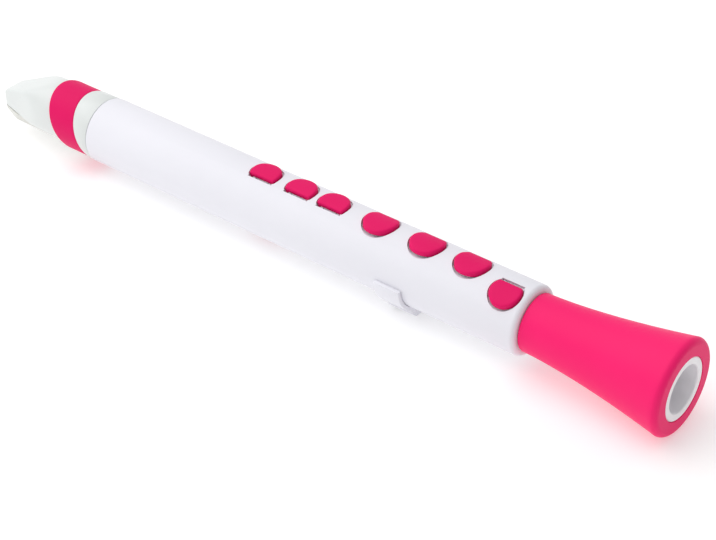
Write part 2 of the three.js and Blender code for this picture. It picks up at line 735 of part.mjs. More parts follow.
// Assembly
onAxis.add(named('body_tube', surface(bodyTube()), whitePlastic));
keys.forEach(addKey);
onAxis.add(named('mouthpiece', mouthpiece(), mouthPlastic));
onAxis.add(named('reed', reed(), reedPlastic));
onAxis.add(named('ligature', ligature(), pinkSilicone));
const ringSetIn = RING_SET_BACK + grooveWidth / 2;
onAxis.add(named('mouthpiece_seal', sealRing(bodyStart + MOUTHPIECE_TENON - ringSetIn), sealSilicone));
onAxis.add(named('bell_seal', sealRing(bodyEnd + ringSetIn), sealSilicone));
onAxis.add(named('bell_liner', bellLiner(), whitePlastic));
onAxis.add(named('bell_shell', bellShell(), pinkPlastic));
onAxis.add(named('thumb_rest', thumbRest(), whitePlastic));
onAxis.add(named('thumb_rest_screw_left', restScrew(1), steel));
onAxis.add(named('thumb_rest_screw_right', restScrew(-1), steel));

export default clarinet;
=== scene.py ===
"""Looks of a plastic clarinet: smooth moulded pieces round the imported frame, studio light and the camera."""

import math

import bmesh
import bpy
import numpy as np
from mathutils import Matrix, Vector


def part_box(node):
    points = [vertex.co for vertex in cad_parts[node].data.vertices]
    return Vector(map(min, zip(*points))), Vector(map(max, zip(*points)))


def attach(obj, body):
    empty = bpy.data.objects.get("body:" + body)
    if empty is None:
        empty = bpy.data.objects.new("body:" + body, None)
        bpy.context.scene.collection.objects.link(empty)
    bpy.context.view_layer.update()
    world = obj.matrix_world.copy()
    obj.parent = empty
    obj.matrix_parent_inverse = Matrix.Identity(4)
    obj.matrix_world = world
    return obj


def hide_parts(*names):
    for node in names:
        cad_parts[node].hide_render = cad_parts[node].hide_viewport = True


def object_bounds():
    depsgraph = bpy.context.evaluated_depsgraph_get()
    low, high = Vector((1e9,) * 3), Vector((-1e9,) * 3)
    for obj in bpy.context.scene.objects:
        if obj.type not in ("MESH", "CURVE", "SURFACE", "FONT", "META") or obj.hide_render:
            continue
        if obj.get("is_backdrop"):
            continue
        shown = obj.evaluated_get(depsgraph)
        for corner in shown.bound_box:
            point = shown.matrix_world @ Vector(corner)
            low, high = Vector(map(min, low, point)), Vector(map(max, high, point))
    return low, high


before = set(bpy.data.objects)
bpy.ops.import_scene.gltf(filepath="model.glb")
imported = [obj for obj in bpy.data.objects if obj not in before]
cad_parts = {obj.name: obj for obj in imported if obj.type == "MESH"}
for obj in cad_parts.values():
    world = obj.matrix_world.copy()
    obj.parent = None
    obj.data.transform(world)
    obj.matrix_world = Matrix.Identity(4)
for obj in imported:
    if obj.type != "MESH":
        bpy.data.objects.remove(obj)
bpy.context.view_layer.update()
scene = bpy.context.scene

# Sizes are in millimetres, with X along the tube and heights measured from its axis
MM = 0.001

# Fits
BOND_GAP = 0.1
SLIDE_GAP = 0.2
RUN_GAP = 0.3

# Cutting shapes: how far they run past what they cut, and the size that stands for a sharp rim or a point
PAST = 1
SHARP = 0.01

# Body tube
TUBE_RADIUS = 15
BORE_RADIUS = 6.5
TENON_RADIUS = 9.5
SOCKET_RADIUS = TENON_RADIUS + SLIDE_GAP
MOUTHPIECE_TENON = 20
BODY_TENON = 16
BODY_END_ROUND = 2.2
EDGE_ROUND = 0.6
EDGE_MIDDLE = EDGE_ROUND / 4
RING_WIRE = 1.5
RING_SET_BACK = 5
RING_SIDE_GAP = 0.25
GROOVE_WIDTH = RING_WIRE + 2 * RING_SIDE_GAP
GROOVE_RADIUS = SOCKET_RADIUS - RING_WIRE - 2 * BOND_GAP

# Bell
BELL_LIP = 2.6
BELL_START_WALL = 1
FLARE_POWER = 1.6
LINER_WALL = 1.6
LINER_ROUND = 0.35
MOUTH_RADIUS = 10
MOUTH_WALL = 3.3
MOUTH_RECESS = 0.2
THROAT_SHARE = 0.25
LINER_START_RADIUS = SOCKET_RADIUS + LINER_WALL
LINER_MOUTH_RADIUS = MOUTH_RADIUS + MOUTH_WALL
BELL_INNER_START = LINER_START_RADIUS + BOND_GAP
BELL_INNER_MOUTH = LINER_MOUTH_RADIUS + BOND_GAP
BELL_START_RADIUS = BELL_INNER_START + BELL_START_WALL

# Mouthpiece, reed and ligature
BEAK_RADIUS = 13.3
COLLAR_STEP = 0.2
COLLAR_RADIUS = TUBE_RADIUS - COLLAR_STEP
TIP_FLAT_HALF = 3.2
TIP_ROUND = 3.5
TIP_HALF_WIDTH = 5.8
TIP_TOP = -6
TIP_BOTTOM = -7.2
NOSE_LENGTH = 3.4
NOSE_HEIGHT = 1.8
BEAK_RISE_LENGTH = 32
BEAK_SHOULDER_LENGTH = 28.6
BEAK_WAIST = 1.2
BEAK_SOFTNESS = 14
BEAK_PLAIN_LENGTH = 38
TABLE_END_HEIGHT = -10.8
REED_LENGTH = 55
REED_TIP_THICKNESS = 0.6
REED_EDGE_THICKNESS = 0.2
REED_VAMP_LENGTH = 28
REED_HALF_WIDTH = 7.4
WINDOW_HALF_WIDTH = 4.3
WINDOW_LENGTH = 26
WINDOW_SET_BACK = 1.6
WINDOW_RAMP = 8
CHAMBER_RADIUS = 6
CHAMBER_LEAD = 6
LIGATURE_WALL = 1.1
LIGATURE_FRONT = 21.5
LIGATURE_BACK = 6.9
FRONT_SLANT = 0.45
BACK_SLANT = 0.34
LIGATURE_ROUND = 0.5
LIGATURE_INNER_EDGE = 0.2
# Points on the collar's rounded front edge: how far back, and how far in
COLLAR_EDGE = ((0, 0.3), (0.1, 0.08), (0.35, 0))
# Slopes and corners that follow from these
RISE_SLOPE = (BEAK_RADIUS - NOSE_HEIGHT) / (BEAK_RISE_LENGTH - NOSE_LENGTH)
TABLE_SLOPE = (TABLE_END_HEIGHT - TIP_BOTTOM) / REED_LENGTH
VAMP_SLOPE = (TUBE_RADIUS + TIP_BOTTOM - REED_TIP_THICKNESS) / REED_VAMP_LENGTH
WAIST = (TIP_HALF_WIDTH + BEAK_RADIUS) / 2 - BEAK_WAIST
FLANK_LENGTH = BEAK_SHOULDER_LENGTH - TIP_ROUND
TIP_CORNER = TIP_HALF_WIDTH - (WAIST - TIP_HALF_WIDTH) * TIP_ROUND / (FLANK_LENGTH / 2)

# Keys
LAND_DEPTH = 2.8
LAND_HEIGHT = TUBE_RADIUS - LAND_DEPTH
LAND_MARGIN = 0.7
PLATE_THICKNESS = 1.1
PLATE_INSET = 1
PLATE_ROUND = 0.2
PAD_RISE = 3.7
PAD_TOP = LAND_HEIGHT + PAD_RISE
PAD_CROWN_RADIUS = 18
PAD_ROUND = 0.8
PAD_CORNER_POWER = 60
HINGE_RISE = 0.2
HINGE_HEIGHT = LAND_HEIGHT + HINGE_RISE
HINGE_SET_IN = 1
OPEN_ANGLE = math.radians(5)
BARREL_HALF_LENGTH = 3.2
BARREL_RADIUS = 1.1
PIN_RADIUS = 0.5
POST_THICKNESS = 1.5
POST_INNER = BARREL_HALF_LENGTH + RUN_GAP
POST_OUTER = POST_INNER + POST_THICKNESS
POST_SHOULDER = 1.1
POST_ROOT = 1.5
POST_TOP_SWEEP = 130
POST_ROUND = 0.25
TONE_HOLE_RADIUS = 2
SEAT_WALL = 0.7
SEAT_RADIUS = TONE_HOLE_RADIUS + SEAT_WALL
SEAL_OVERLAP = 0.5
SEAL_RADIUS = SEAT_RADIUS + SEAL_OVERLAP
SEAL_THICKNESS = 1
SEAL_EDGE = 0.2
RECESS_MARGIN = 0.5
RECESS_RADIUS = SEAL_RADIUS + RECESS_MARGIN
RECESS_DEPTH = 2
RECESS_FLOOR = LAND_HEIGHT - RECESS_DEPTH
SPRING_RADIUS = 0.35
SPRING_SET_OUT = 1.6
SPRING_DROP = 0.4
SPRING_HEIGHT = HINGE_HEIGHT - SPRING_DROP
SPRING_REACH = 1.6
ROD_END_ROUND = 0.15
CATCH_LENGTH = 1.2
CATCH_THICKNESS = 0.5
CATCH_GAP = 0.15
CATCH_TOP = SPRING_HEIGHT - SPRING_RADIUS - CATCH_GAP
GROOVE_FLOOR = 10.5
PLATE_BOTTOM = LAND_HEIGHT + RUN_GAP
PLATE_TOP = PLATE_BOTTOM + PLATE_THICKNESS
SEAL_BOTTOM = PLATE_BOTTOM - BOND_GAP - SEAL_THICKNESS

# Pad radius, distance from its middle to its straight side and which side that is on
LEFT_HAND = {"radius": 6.95, "chord": 2.85, "side": 1}
LEFT_THUMB = {"radius": 6.95, "chord": 2.85, "side": -1}
RIGHT_HAND = {"radius": 7.45, "chord": 5.4, "side": -1}
LITTLE_FINGER = {"radius": 6.7, "chord": 4.3, "side": -1}
# Each key has a hand's pad and a turn round the tube, in degrees from the top
KEYS = [
    {"name": "1", "turn": 5.5, **LEFT_HAND},
    {"name": "2", "turn": 5.5, **LEFT_HAND},
    {"name": "3", "turn": 5.5, **LEFT_HAND},
    {"name": "4", "turn": 1, **RIGHT_HAND},
    {"name": "5", "turn": 1, **RIGHT_HAND},
    {"name": "6", "turn": 1, **RIGHT_HAND},
    {"name": "7", "turn": 27, **LITTLE_FINGER},
    {"name": "thumb", "turn": 200, **LEFT_THUMB},
]

# Thumb rest
REST_HOOK_LENGTH = 6
REST_HALF_WIDTH = 6.9
HOOK_HALF_WIDTH = 4.2
REST_WRAP = 86
REST_WALL = 1.9
REST_PAD_DEPTH = 2.9
REST_ROUND = 0.5
REST_CORNER = 0.9
SADDLE_ROUND = 0.4
HOOK_FILLET = 1.2
SCREW_SPREAD = 3.6
SCREW_RADIUS = 1.1
SCREW_HEAD_RADIUS = 2
SCREW_HEAD_HEIGHT = 1.2
SCREW_HEAD_ROUND = 0.25
SCREW_LENGTH = 6.5
DRIVE_HALF_WIDTH = 0.35
DRIVE_DEPTH = 0.6

# Facets, steps of rounded corners and rows of points
TUBE_FACETS = 240
ROUND_FACETS = 160
PAD_FACETS = 120
PLATE_FACETS = 90
SMALL_FACETS = 48
ROD_FACETS = 24
WIRE_FACETS = 20
CORNER_STEPS = 5
BODY_END_STEPS = 10
BELL_LIP_STEPS = 15
RIM_STEPS = 3
FLARE_STEPS = 40
POST_TOP_POINTS = 17
WRAP_POINTS = 61
NOSE_ROWS = 9
BEAK_ROWS = 22
BAND_ROWS = 8
REED_ROWS = 60
REED_COLUMNS = 33
PAD_TOP_SHARES = (0.8, 0.6, 0.4, 0.2, 0.05)
# Rows from the plain beak to the collar, as shares of the way, with two more close round the reed's heel
LEAN_SHARES = (0.25, 0.5)
HEEL_SPLIT = 0.003
LAST_SHARE = 0.99
# The most of an edge that one rounded corner takes, and the angle up to which edges are shaded smooth
LONGEST_ROUND = 0.49
CREASE = math.radians(38)
# What a divisor is kept above
TINY = 1e-6

# Surfaces: clouds of a second tint and a fine grain, with scales in bumps per metre
CLOUD_SCALE = 45
CLOUD_DETAIL = 3
CLOUD_START = 0.3
CLOUD_END = 0.7
GRAIN_SCALE = 2600
GRAIN_DETAIL = 2
GRAIN_DEPTH = 0.1
GRAIN_RELIEF = 0.04
GLOSS_SPREAD = 0.06

# Floor and light: lengths in metres, power in watts, and strengths of glow
FLOOR_HALF = 4
FLOOR_GLOW = 0.36
LIGHT_SIDE = 0.9
DARK_SIDE = 0.35
KEY_LIGHT_PLACE = Vector((-0.5, -0.3, 1.2))
KEY_LIGHT_SIZE = 1.6
KEY_LIGHT_POWER = 11

# The camera stands where the photograph was taken, measured from the middle of the bell's mouth
CAMERA_FROM_MOUTH = Vector((246.0, -503.1, 443.4))
CAMERA_AZIMUTH = math.radians(38.507)
CAMERA_ELEVATION = math.radians(35.434)
FOCAL_PIXELS = 1900
PHOTO_WIDTH = 716
SENSOR_WIDTH = 36
NEAREST = 10
FURTHEST = 50000

# Places that the frame gives
low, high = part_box("body_tube")
BODY_START = low.x / MM
BODY_END = high.x / MM - BODY_TENON
low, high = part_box("bell_shell")
BELL_START = low.x / MM
BELL_END = high.x / MM
RIM_RADIUS = (high.z - low.z) / MM / 2
AXIS_HEIGHT = (high.z + low.z) / MM / 2
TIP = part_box("mouthpiece")[0].x / MM
low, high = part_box("thumb_rest")
REST_START = low.x / MM
REST_END = high.x / MM
low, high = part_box("thumb_rest_screw_left")
SCREW_X = (low.x + high.x) / MM / 2
for key in KEYS:
    low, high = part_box(f"hinge_pin_{key['name']}")
    key["x"] = (low.x + high.x) / MM / 2


# Shapes: each is a list of points, measured from the tube's axis above the frame's origin, and its faces
def skin(rows, loop=False):
    """A closed skin over rows of points, each row a ring. The end rows are capped, or joined if loop."""
    rows = np.asarray(rows, float)
    count, columns = rows.shape[:2]
    faces = []
    for i in range(count if loop else count - 1):
        a = i * columns
        b = (i + 1) % count * columns
        for j in range(columns):
            k = (j + 1) % columns
            faces.append((a + j, a + k, b + k, b + j))
    if not loop:
        faces.append(tuple(reversed(range(columns))))
        faces.append(tuple(range((count - 1) * columns, count * columns)))
    return rows.reshape(-1, 3), faces


def around(facets):
    """The angles of a full turn in equal steps."""
    return np.linspace(0, 2 * math.pi, facets, endpoint=False)


def quarter(steps):
    """The angles of a quarter turn in equal steps, with both ends."""
    return [math.pi / 2 * k / steps for k in range(steps + 1)]


def curve(a, b, c, t):
    """The place at t on a smooth curve that leaves a toward b and comes to c from b."""
    return a * (1 - t) ** 2 + 2 * b * t * (1 - t) + c * t * t


def ring(x, radius, angle):
    """Points round the X axis, with angles from the top toward +Y."""
    return np.stack([x + 0 * angle, radius * np.sin(angle), radius * np.cos(angle)], -1)


def turned(profile, facets=ROUND_FACETS, loop=True):
    """A shape turned round the X axis from (x, radius) points."""
    x, radius = np.array(profile, float).T[:, :, None]
    return skin(ring(x, radius, around(facets)), loop)


def rounded(corners):
    """A closed outline of (a, b, radius) corners as points, with each corner rounded."""
    points = []
    for i, (a, b, radius) in enumerate(corners):
        corner = Vector((a, b))
        back = Vector(corners[i - 1][:2]) - corner
        on = Vector(corners[(i + 1) % len(corners)][:2]) - corner
        if radius <= 0:
            points.append(corner)
            continue
        half = back.angle(on) / 2
        reach = min(radius / math.tan(half), LONGEST_ROUND * min(back.length, on.length))
        middle = corner + (back.normalized() + on.normalized()).normalized() * (reach / math.cos(half))
        first = corner + back.normalized() * reach - middle
        last = corner + on.normalized() * reach - middle
        sweep = first.angle_signed(last)
        for k in range(CORNER_STEPS + 1):
            points.append(middle + Matrix.Rotation(-sweep * k / CORNER_STEPS, 2) @ first)
    return [tuple(p) for p in points]


def inset(outline, depth):
    """A closed outline, anticlockwise, moved inward."""
    points = np.asarray(outline, float)
    edge = np.roll(points, -1, 0) - points
    edge /= np.linalg.norm(edge, axis=1)[:, None]
    normal = np.stack([-edge[:, 1], edge[:, 0]], -1)
    before = np.roll(normal, 1, 0)
    share = 1 + (normal * before).sum(1)
    return points + depth * (normal + before) / share[:, None]


def raised(flat, height):
    """A flat outline's points at one height, or each at its own."""
    return np.column_stack([flat, np.broadcast_to(height, len(flat))])


def prism(outline, start, end, rim, axis, steps=RIM_STEPS):
    """An outline, anticlockwise, drawn along axis from start to end with rounded rims."""
    rows = []
    for end_at, way in ((start, 1), (end, -1)):
        rims = []
        for angle in quarter(steps):
            flat = inset(outline, rim * (1 - math.sin(angle)))
            rims.append(raised(flat, end_at + way * rim * (1 - math.cos(angle))))
        rows.extend(rims[::way])
    a, b, c = np.moveaxis(np.array(rows), -1, 0)
    order = {"x": (c, a, b), "y": (a, c, b), "z": (a, b, c)}[axis]
    return skin(np.stack(order, -1))


def cutter(outline, start, end, axis):
    """A prism with sharp rims, to cut with."""
    return prism(outline, start, end, SHARP, axis, 1)


def rod(start, end, radius, y, z):
    """A round bar along X with slightly softened ends."""
    tip = ROD_END_ROUND
    profile = [(start, radius - tip), (start + tip, radius), (end - tip, radius), (end, radius - tip)]
    points, faces = turned(profile, ROD_FACETS, loop=False)
    return points + np.array([0, y, z]), faces


def upright(profile, x, y):
    """A shape turned round a line along Z from (z, radius) points."""
    points, faces = turned(profile, SMALL_FACETS, loop=False)
    return np.stack([points[:, 1] + x, points[:, 2] + y, points[:, 0]], -1), faces


def block(x0, x1, y0, y1, z0, z1):
    """A plain box."""
    outline = [(x0, y0), (x1, y0), (x1, y1), (x0, y1)]
    rows = [[(x, y, z) for x, y in outline] for z in (z0, z1)]
    return skin(rows)


def moved(shape, matrix):
    """A shape turned and moved by a 4 by 4 matrix."""
    points, faces = shape
    turn = np.array(matrix)
    return points @ turn[:3, :3].T + turn[:3, 3], faces


def mesh_of(shape):
    """A shape as a mesh in metres in the frame, with its faces pointing out."""
    points, faces = shape
    mesh = bpy.data.meshes.new("shape")
    mesh.from_pydata(((points + np.array([0, 0, AXIS_HEIGHT])) * MM).tolist(), [], faces)
    work = bmesh.new()
    work.from_mesh(mesh)
    bmesh.ops.recalc_face_normals(work, faces=work.faces)
    work.to_mesh(mesh)
    work.free()
    return mesh


def combined(mesh, operation, shapes):
    """A mesh joined with shapes (UNION), or cut by them (DIFFERENCE)."""
    base = bpy.data.objects.new("base", mesh)
    scene.collection.objects.link(base)
    tools = []
    for shape in shapes:
        tool = bpy.data.objects.new("tool", mesh_of(shape))
        scene.collection.objects.link(tool)
        tools.append(tool)
        modifier = base.modifiers.new("combine", "BOOLEAN")
        modifier.operation = operation
        modifier.solver = "EXACT"
        modifier.object = tool
    bpy.context.view_layer.update()
    made = bpy.data.meshes.new_from_object(base.evaluated_get(bpy.context.evaluated_depsgraph_get()))
    for used in (base, *tools):
        bpy.data.objects.remove(used)
    return made


def piece(name, made, material, slot, body, *nodes):
    """A finished piece of the object: it rides on a body, and stands for CAD nodes."""
    mesh = made if isinstance(made, bpy.types.Mesh) else mesh_of(made)
    mesh.name = name
    mesh.materials.clear()
    mesh.materials.append(material)
    mesh.shade_smooth()
    mesh.set_sharp_from_angle(angle=CREASE)
    thing = bpy.data.objects.new(name, mesh)
    scene.collection.objects.link(thing)
    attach(thing, body)
    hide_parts(*nodes)
    return thing


# Materials
def noise(nodes, links, scale, detail):
    """Noise fixed to the object, whose scale is in bumps per metre."""
    place = nodes.new("ShaderNodeTexCoord")
    texture = nodes.new("ShaderNodeTexNoise")
    texture.inputs["Scale"].default_value = scale
    texture.inputs["Detail"].default_value = detail
    links.new(place.outputs["Object"], texture.inputs["Vector"])
    return texture.outputs["Fac"]


def moulded(name, colour, tint, roughness, mottle=CLOUD_SCALE, relief=GRAIN_RELIEF, **constants):
    """A moulded surface: faint clouds of a second tint, and a fine grain in its gloss and relief."""
    material = bpy.data.materials.new(name)
    material.use_nodes = True
    nodes = material.node_tree.nodes
    links = material.node_tree.links
    shader = nodes["Principled BSDF"]
    clouds = noise(nodes, links, mottle, CLOUD_DETAIL)
    ramp = nodes.new("ShaderNodeValToRGB")
    first, last = ramp.color_ramp.elements
    first.position = CLOUD_START
    first.color = (*colour, 1)
    last.position = CLOUD_END
    last.color = (*tint, 1)
    links.new(clouds, ramp.inputs["Fac"])
    links.new(ramp.outputs["Color"], shader.inputs["Base Color"])
    fine = noise(nodes, links, GRAIN_SCALE, GRAIN_DETAIL)
    gloss = nodes.new("ShaderNodeMapRange")
    gloss.inputs["To Min"].default_value = roughness - GLOSS_SPREAD
    gloss.inputs["To Max"].default_value = roughness + GLOSS_SPREAD
    links.new(fine, gloss.inputs["Value"])
    links.new(gloss.outputs["Result"], shader.inputs["Roughness"])
    bump = nodes.new("ShaderNodeBump")
    bump.inputs["Strength"].default_value = relief
    bump.inputs["Distance"].default_value = GRAIN_DEPTH * MM
    links.new(fine, bump.inputs["Height"])
    links.new(bump.outputs["Normal"], shader.inputs["Normal"])
    for socket, value in constants.items():
        shader.inputs[socket.replace("_", " ")].default_value = value
    return material


WHITE = moulded(
    "white_plastic", (0.835, 0.83, 0.885), (0.82, 0.815, 0.87), 0.34, Specular_IOR_Level=0.12
)
LINER = moulded("liner_plastic", (0.95, 0.935, 0.955), (0.93, 0.915, 0.935), 0.34)
# Painted shade: a greyer copy of the liner's white, for the inside of the bore
BORE_SHADE = moulded("bore_painted_shade", (0.92, 0.9, 0.93), (0.9, 0.88, 0.91), 0.5)
MOUTH = moulded("mouth_plastic", (0.755, 0.785, 0.775), (0.74, 0.77, 0.76), 0.3)
PINK = moulded("pink_plastic", (0.97, 0.018, 0.17), (0.94, 0.017, 0.162), 0.42, Specular_IOR_Level=0.1)
PINK_SOFT = moulded(
    "pink_silicone", (0.8, 0.008, 0.135), (0.77, 0.007, 0.125), 0.5, relief=0.07, Specular_IOR_Level=0.1
)
REED = moulded("reed_plastic", (0.76, 0.76, 0.72), (0.73, 0.73, 0.69), 0.4, mottle=160)
SEAL = moulded("seal_silicone", (0.70, 0.70, 0.73), (0.64, 0.64, 0.67), 0.55, relief=0.08)
STEEL = moulded("steel", (0.56, 0.57, 0.60), (0.48, 0.49, 0.52), 0.3, mottle=400, Metallic=1.0)


# Keys: shapes are drawn in the key's own frame, with the hinge on the -Y side, and then set on the tube
def key_frame(key):
    """From the key's own frame to its place on the tube."""
    turn = Matrix.Rotation(math.radians(key["turn"]), 4, "X")
    about = Matrix.Rotation(0 if key["side"] > 0 else math.pi, 4, "Z")
    return Matrix.Translation((key["x"], 0, 0)) @ turn @ about


def flap_frame(key):
    """The same for the key's moving pieces, which rest open."""
    hinge = Matrix.Translation((0, hinge_y(key), HINGE_HEIGHT))
    return key_frame(key) @ hinge @ Matrix.Rotation(OPEN_ANGLE, 4, "X") @ hinge.inverted()


def hinge_y(key):
    """Where the hinge pin lies, a little in from the straight side."""
    return HINGE_SET_IN - key["chord"]


def foot_y(key):
    """How far the posts' feet reach, past the spring."""
    return hinge_y(key) - SPRING_SET_OUT - 2 * SPRING_RADIUS


def plate_edge(key):
    """Where the plate's straight side lies, clear of the posts."""
    return hinge_y(key) + POST_SHOULDER + RUN_GAP


def hole_y(key):
    """Where the tone hole lies, just clear of the hinge barrel."""
    return hinge_y(key) + BARREL_RADIUS + SLIDE_GAP + SEAL_RADIUS


def d_outline(radius, chord):
    """A circle with a straight side at y = -chord and slightly softened corners."""
    angle = around(PAD_FACETS)
    down = np.maximum(-np.sin(angle), TINY)
    reach = (radius ** -PAD_CORNER_POWER + (chord / down) ** -PAD_CORNER_POWER) ** (-1 / PAD_CORNER_POWER)
    return np.stack([reach * np.cos(angle), reach * np.sin(angle)], -1)


def tabbed(radius, edge, half, end):
    """A circle cut straight at y = edge, with a tab of a given half width down to y = end."""
    start = math.atan2(edge, math.sqrt(radius ** 2 - edge ** 2))
    angle = np.linspace(start, math.pi - start, PLATE_FACETS)
    arc = np.stack([radius * np.cos(angle), radius * np.sin(angle)], -1)
    return np.concatenate([arc, [(-half, edge), (-half, end), (half, end), (half, edge)]])


def pad_mesh(key, flap):
    """A finger pad: a crowned D with a rounded rim, hollow where the plate and the hinge lie under it."""
    outline = d_outline(key["radius"], key["chord"])

    def crown(flat):
        return PAD_TOP - PAD_CROWN_RADIUS + np.sqrt(PAD_CROWN_RADIUS ** 2 - flat[:, 1] ** 2)

    rows = [raised(inset(outline, PLATE_ROUND), PLATE_BOTTOM), raised(outline, PLATE_BOTTOM + PLATE_ROUND)]
    for angle in quarter(CORNER_STEPS):
        flat = inset(outline, PAD_ROUND * (1 - math.cos(angle)))
        rows.append(raised(flat, crown(flat) - PAD_ROUND * (1 - math.sin(angle))))
    top = inset(outline, PAD_ROUND)
    for share in PAD_TOP_SHARES:
        rows.append(raised(share * top, crown(share * top)))
    radius = key["radius"] - PLATE_INSET + BOND_GAP
    space = tabbed(radius, plate_edge(key) - BOND_GAP, POST_OUTER + RUN_GAP, -key["chord"] - PAST)
    hollow = cutter(space, PLATE_BOTTOM - PAST, PLATE_TOP + BOND_GAP, "z")
    return combined(mesh_of(moved(skin(rows), flap)), "DIFFERENCE", [moved(hollow, flap)])


def plate_mesh(key, flap):
    """The plate under a pad, with its hinge barrel and the catch for the spring."""
    y = hinge_y(key)
    half = BARREL_HALF_LENGTH
    outline = tabbed(key["radius"] - PLATE_INSET, plate_edge(key), half - PLATE_ROUND, y)
    plate = prism(outline, PLATE_BOTTOM, PLATE_TOP, PLATE_ROUND, "z")
    barrel = rod(-half, half, BARREL_RADIUS, y, HINGE_HEIGHT)
    end = y - SPRING_SET_OUT - SPRING_RADIUS
    catch = block(0, CATCH_LENGTH, end, y, CATCH_TOP - CATCH_THICKNESS, CATCH_TOP)
    bore = rod(-half - PAST, half + PAST, PIN_RADIUS + SLIDE_GAP, y, HINGE_HEIGHT)
    mesh = combined(mesh_of(moved(plate, flap)), "UNION", [moved(s, flap) for s in (barrel, catch)])
    return combined(mesh, "DIFFERENCE", [moved(bore, flap)])


def post_shapes(key):
    """The two hinge posts that stand on a key's land."""
    y = hinge_y(key)
    root = LAND_HEIGHT - POST_ROOT
    outline = [(foot_y(key), root), (y + POST_SHOULDER, root)]
    for angle in np.radians(np.linspace(0, POST_TOP_SWEEP, POST_TOP_POINTS)):
        outline.append((y + POST_SHOULDER * math.cos(angle), HINGE_HEIGHT + POST_SHOULDER * math.sin(angle)))
    outline.append((foot_y(key), SPRING_HEIGHT + 2 * SPRING_RADIUS))
    spans = ((-POST_OUTER, -POST_INNER), (POST_INNER, POST_OUTER))
    return [prism(outline, *span, POST_ROUND, "x") for span in spans]


def seal_shape(key):
    """The soft disc under a plate that closes the tone hole."""
    top = SEAL_BOTTOM + SEAL_THICKNESS
    return upright([
        (SEAL_BOTTOM, SEAL_RADIUS - SEAL_EDGE),
        (SEAL_BOTTOM + SEAL_EDGE, SEAL_RADIUS),
        (top - SEAL_EDGE, SEAL_RADIUS),
        (top, SEAL_RADIUS - SEAL_EDGE),
    ], 0, hole_y(key))


for key in KEYS:
    name = key["name"]
    body = f"key_{name}"
    flap = flap_frame(key)
    still = key_frame(key)
    pin = rod(-POST_OUTER, POST_OUTER, PIN_RADIUS, hinge_y(key), HINGE_HEIGHT)
    spring = rod(-POST_OUTER, SPRING_REACH, SPRING_RADIUS, hinge_y(key) - SPRING_SET_OUT, SPRING_HEIGHT)
    piece(f"pad_{name}", pad_mesh(key, flap), PINK_SOFT, "pink_silicone", body, f"finger_pad_{name}")
    piece(f"plate_{name}", plate_mesh(key, flap), WHITE, "white_plastic", body, f"key_plate_{name}")
    piece(f"seal_{name}", moved(seal_shape(key), flap), SEAL, "seal_silicone", body, f"hole_seal_{name}")
    piece(f"pin_{name}", moved(pin, still), STEEL, "steel", "body", f"hinge_pin_{name}")
    piece(f"spring_{name}", moved(spring, still), STEEL, "steel", "body", f"key_spring_{name}")
    for side, shape in zip(("a", "b"), post_shapes(key)):
        piece(f"post_{name}_{side}", moved(shape, still), WHITE, "white_plastic", "body", "body_tube")


# Body tube: turned, and cut where the keys sit
def seat_cuts(key):
    """What one key's seat takes out of the tube: land, barrel groove, seal recess and tone hole."""
    above = TUBE_RADIUS + PAST
    seat_top = SEAL_BOTTOM - BOND_GAP
    edge = -key["chord"] - LAND_MARGIN
    straight_half = math.sqrt(key["radius"] ** 2 - key["chord"] ** 2)
    foot_half = max(POST_OUTER + RUN_GAP, straight_half)
    outline = tabbed(key["radius"] + LAND_MARGIN, edge, foot_half, foot_y(key) - RUN_GAP)
    land = cutter(outline, LAND_HEIGHT, above, "z")
    start = hinge_y(key) - SPRING_SET_OUT - SPRING_RADIUS - RUN_GAP
    groove = block(-POST_INNER, POST_INNER, start, plate_edge(key), GROOVE_FLOOR, above)
    well = upright([
        (BORE_RADIUS / 2, SHARP),
        (BORE_RADIUS / 2, TONE_HOLE_RADIUS),
        (seat_top, TONE_HOLE_RADIUS),
        (seat_top, SEAT_RADIUS),
        (RECESS_FLOOR, SEAT_RADIUS),
        (RECESS_FLOOR, RECESS_RADIUS),
        (above, RECESS_RADIUS),
        (above, SHARP),
    ], 0, hole_y(key))
    return [moved(shape, key_frame(key)) for shape in (land, groove, well)]


def body_mesh():
    """The tube with its socket, bore and tenon, and the seats of all the keys."""
    last = BODY_END - BODY_END_ROUND
    outside = [
        (BODY_START, TUBE_RADIUS - EDGE_ROUND),
        (BODY_START + EDGE_MIDDLE, TUBE_RADIUS - EDGE_MIDDLE),
        (BODY_START + EDGE_ROUND, TUBE_RADIUS),
    ]
    for turn in quarter(BODY_END_STEPS):
        drop = BODY_END_ROUND * (1 - math.cos(turn))
        outside.append((last + BODY_END_ROUND * math.sin(turn), TUBE_RADIUS - drop))
    groove = BODY_END + RING_SET_BACK
    floor = BODY_START + MOUTHPIECE_TENON + RUN_GAP
    end = BODY_END + BODY_TENON
    inside = [
        (BODY_END, TENON_RADIUS),
        (groove, TENON_RADIUS),
        (groove, GROOVE_RADIUS),
        (groove + GROOVE_WIDTH, GROOVE_RADIUS),
        (groove + GROOVE_WIDTH, TENON_RADIUS),
        (end - EDGE_ROUND, TENON_RADIUS),
        (end, TENON_RADIUS - EDGE_ROUND),
        (end, BORE_RADIUS),
        (floor, BORE_RADIUS),
        (floor, SOCKET_RADIUS),
        (BODY_START + EDGE_ROUND, SOCKET_RADIUS),
        (BODY_START, SOCKET_RADIUS + EDGE_ROUND),
    ]
    cuts = [cut for key in KEYS for cut in seat_cuts(key)]
    return combined(mesh_of(turned(outside + inside, TUBE_FACETS)), "DIFFERENCE", cuts)


piece("tube", body_mesh(), WHITE, "white_plastic", "body", "body_tube")


# O-rings on the two tenons
def o_ring(middle):
    """A ring of round wire just clear of its groove, round a place on the axis."""
    radius = RING_WIRE / 2
    centre = GROOVE_RADIUS + BOND_GAP + radius
    turns = around(WIRE_FACETS)
    return turned([(middle + radius * math.cos(t), centre + radius * math.sin(t)) for t in turns])


